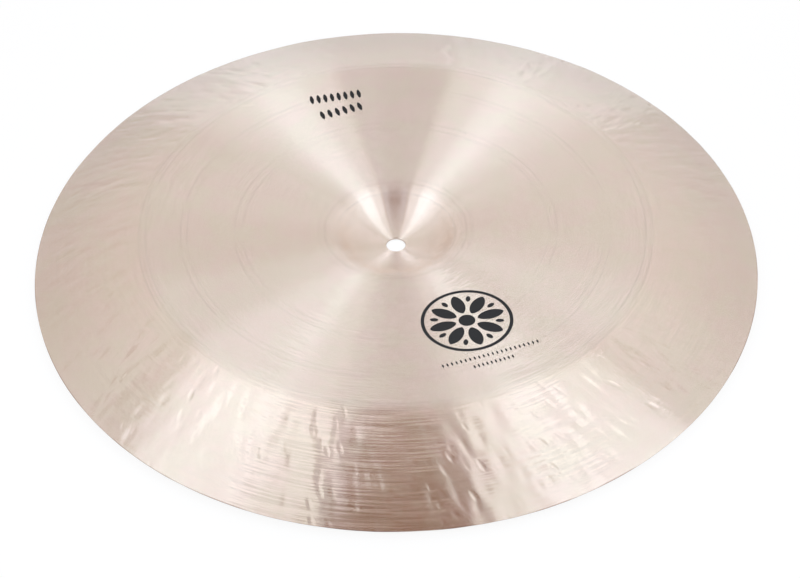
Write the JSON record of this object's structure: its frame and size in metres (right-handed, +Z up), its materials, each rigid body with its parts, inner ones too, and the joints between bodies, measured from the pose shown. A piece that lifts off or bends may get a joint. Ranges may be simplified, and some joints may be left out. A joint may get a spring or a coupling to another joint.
{
  "type": "china cymbal",
  "caption": "Thin round bronze cymbal with a dished bell, a shallow bow rising to a crease, a hammered flange bent back from it, and a centre hole.",
  "frame": {"origin": "on the axis of the mounting hole, on the flat outside face of the crown, which is the lowest point with the cymbal bell down", "axes": "+Z up along the axis of the mounting hole, out of the hollow of the bell; the cymbal lies bell down with its flange turned down; X and Y lie in the plane of the rim and are alike"},
  "size_m": [0.4572, 0.4572, 0.0262],
  "materials": {
    "bell_bronze": "turned and hammered cast bell bronze, bright, with fine turning rings round the axis"
  },
  "bodies": {
    "root": {"cymbal": "bell_bronze"}
  },
  "joints": []
}
